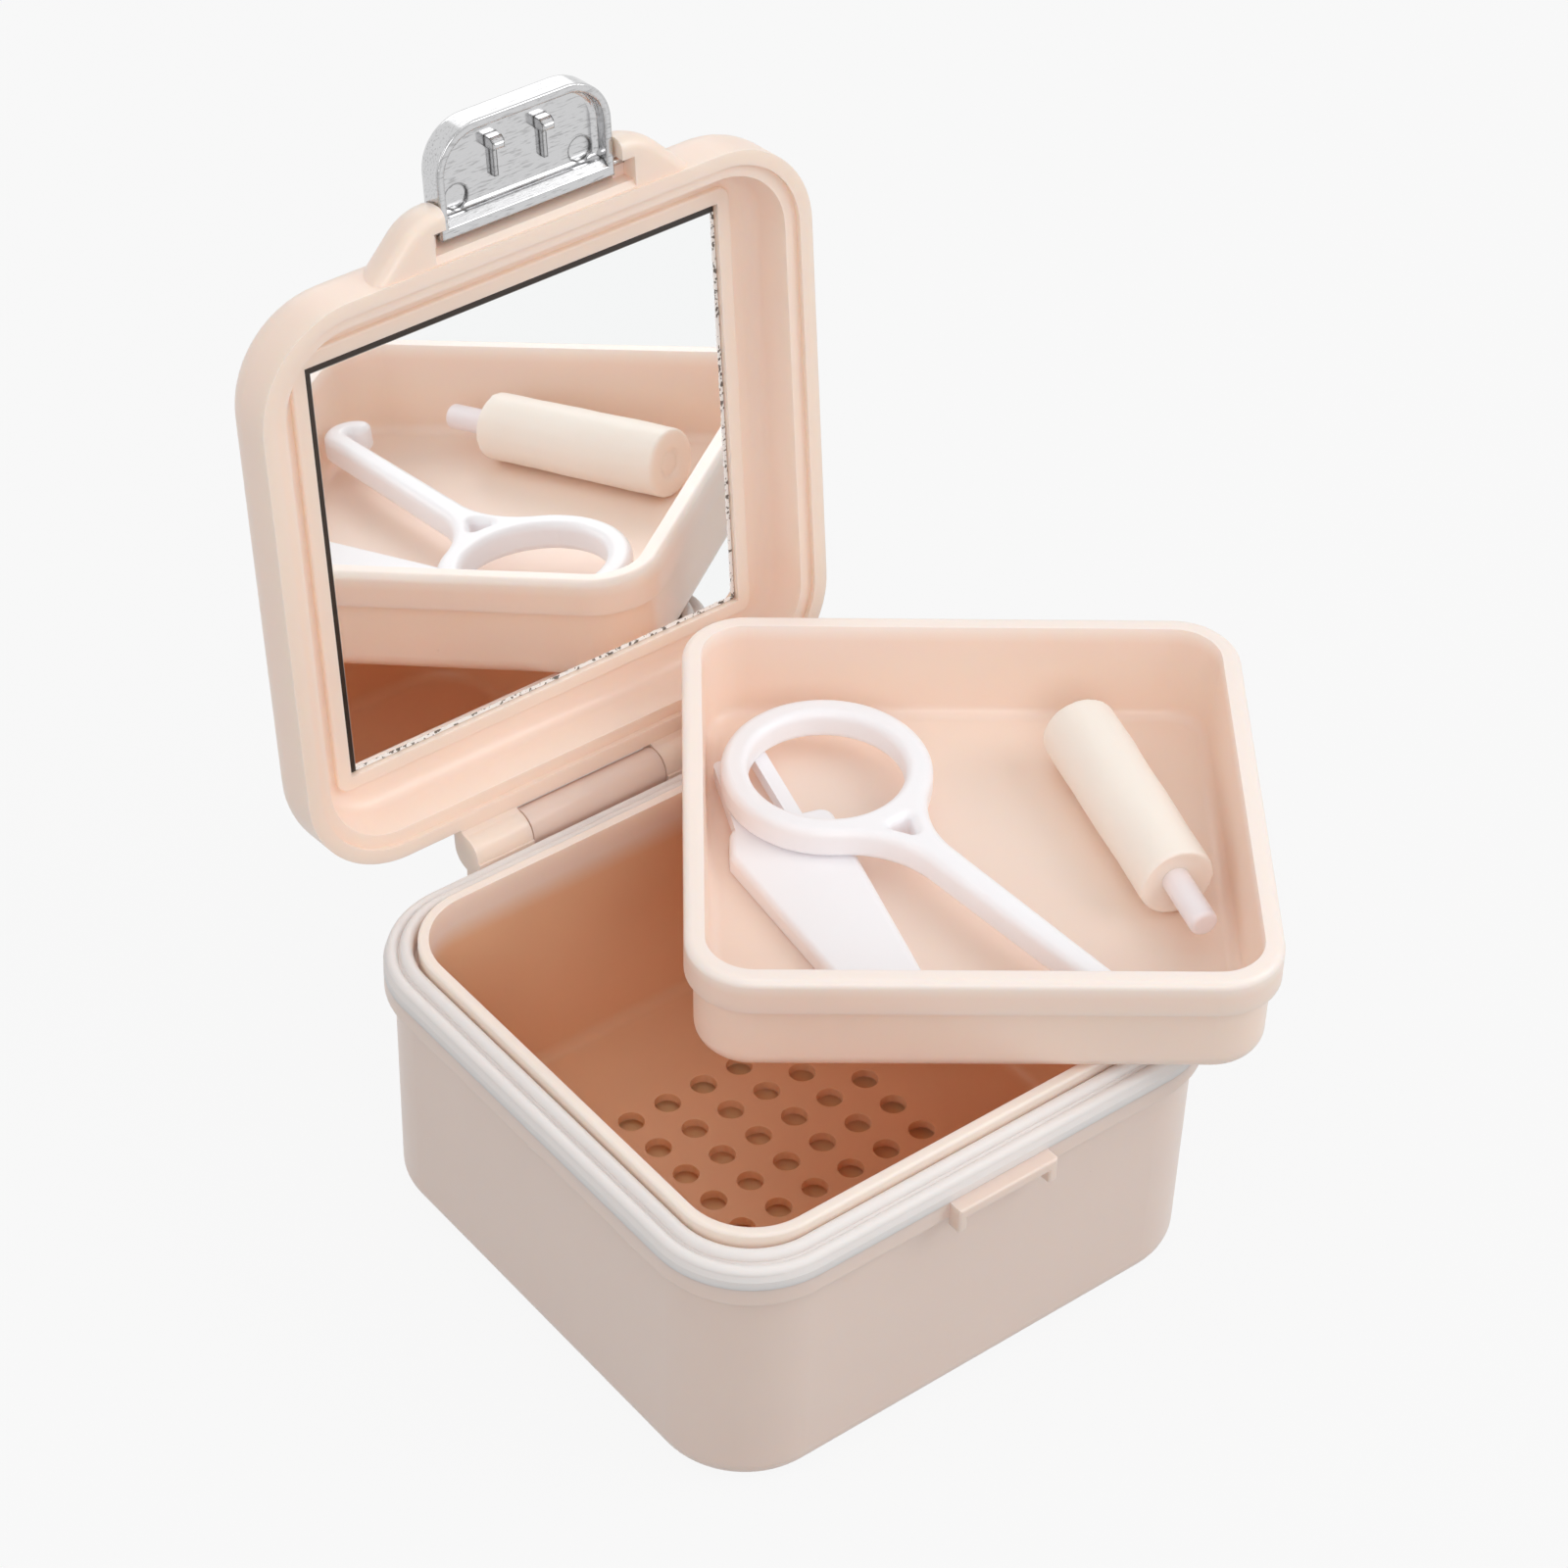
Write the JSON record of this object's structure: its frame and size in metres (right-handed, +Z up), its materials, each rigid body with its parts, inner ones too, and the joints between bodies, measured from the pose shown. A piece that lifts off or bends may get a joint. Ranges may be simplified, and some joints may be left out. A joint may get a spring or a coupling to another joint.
{
  "type": "retainer case",
  "caption": "Square retainer case with hinged mirror lid, plated clasp, silicone rim seal, perforated inner basket, and a tray of small removal tools laid across the open base.",
  "frame": {"origin": "middle of the underside of the base, on the surface it stands on", "axes": "+Z up, +X along the hinge, +Y from the catch at the front towards the hinge at the back"},
  "size_m": [0.1301, 0.1256, 0.1544],
  "materials": {
    "base_plastic": "moulded, satin gloss, pale pink beige",
    "basket_plastic": "moulded, gloss, warm terracotta pink in its own shade",
    "lid_plastic": "moulded, gloss, pale peach",
    "tray_plastic": "moulded, gloss, pale peach",
    "silicone": "smooth white silicone",
    "plated_clasp": "bright plated",
    "steel": "drawn wire",
    "mirror": "silvered glass",
    "foam_tape": "thin foam adhesive",
    "white_plastic": "moulded, slightly translucent white",
    "soft_roll": "soft matt elastomer, cream"
  },
  "bodies": {
    "base": {"base_shell": "base_plastic", "strainer_basket": "basket_plastic", "rim_seal": "silicone", "hinge_pin": "steel"},
    "lid": {"lid_shell": "lid_plastic", "mirror_glass": "mirror", "mirror_pad": "foam_tape", "clasp_pin": "steel"},
    "clasp": {"clasp_cover": "plated_clasp"},
    "tray": {"tool_tray": "tray_plastic"},
    "flat_tool": {"flat_tool": "white_plastic"},
    "ring_tool": {"ring_tool": "white_plastic"},
    "chewie": {"chewie_roll": "soft_roll", "chewie_stick": "white_plastic"}
  },
  "joints": [
    {"name": "lid_hinge", "type": "hinge", "parent": "base", "child": "lid", "pos_m": [0, 0.0492, 0.0426], "axis": [1, 0, 0], "range_deg": [0, 96.2]},
    {"name": "clasp_hinge", "type": "hinge", "parent": "lid", "child": "clasp", "pos_m": [0, 0.06417, 0.13965], "axis": [1, 0, 0], "range_deg": [0, 90]},
    {"name": "tray_slide", "type": "slide", "parent": "base", "child": "tray", "axis": [0.7071, -0.7071, 0], "range_m": [0, 0.0945]},
    {"name": "flat_tool_lift", "type": "slide", "parent": "tray", "child": "flat_tool", "axis": [0, 0, 1], "range_m": [0, 0.04]},
    {"name": "ring_tool_lift", "type": "slide", "parent": "flat_tool", "child": "ring_tool", "axis": [0, 0, 1], "range_m": [0, 0.03]},
    {"name": "chewie_lift", "type": "slide", "parent": "tray", "child": "chewie", "axis": [0, 0, 1], "range_m": [0, 0.04]}
  ],
  "couplings": [
    {"joint": "tray_slide", "follows": "lid_hinge", "m_per_rad": 0.056}
  ]
}
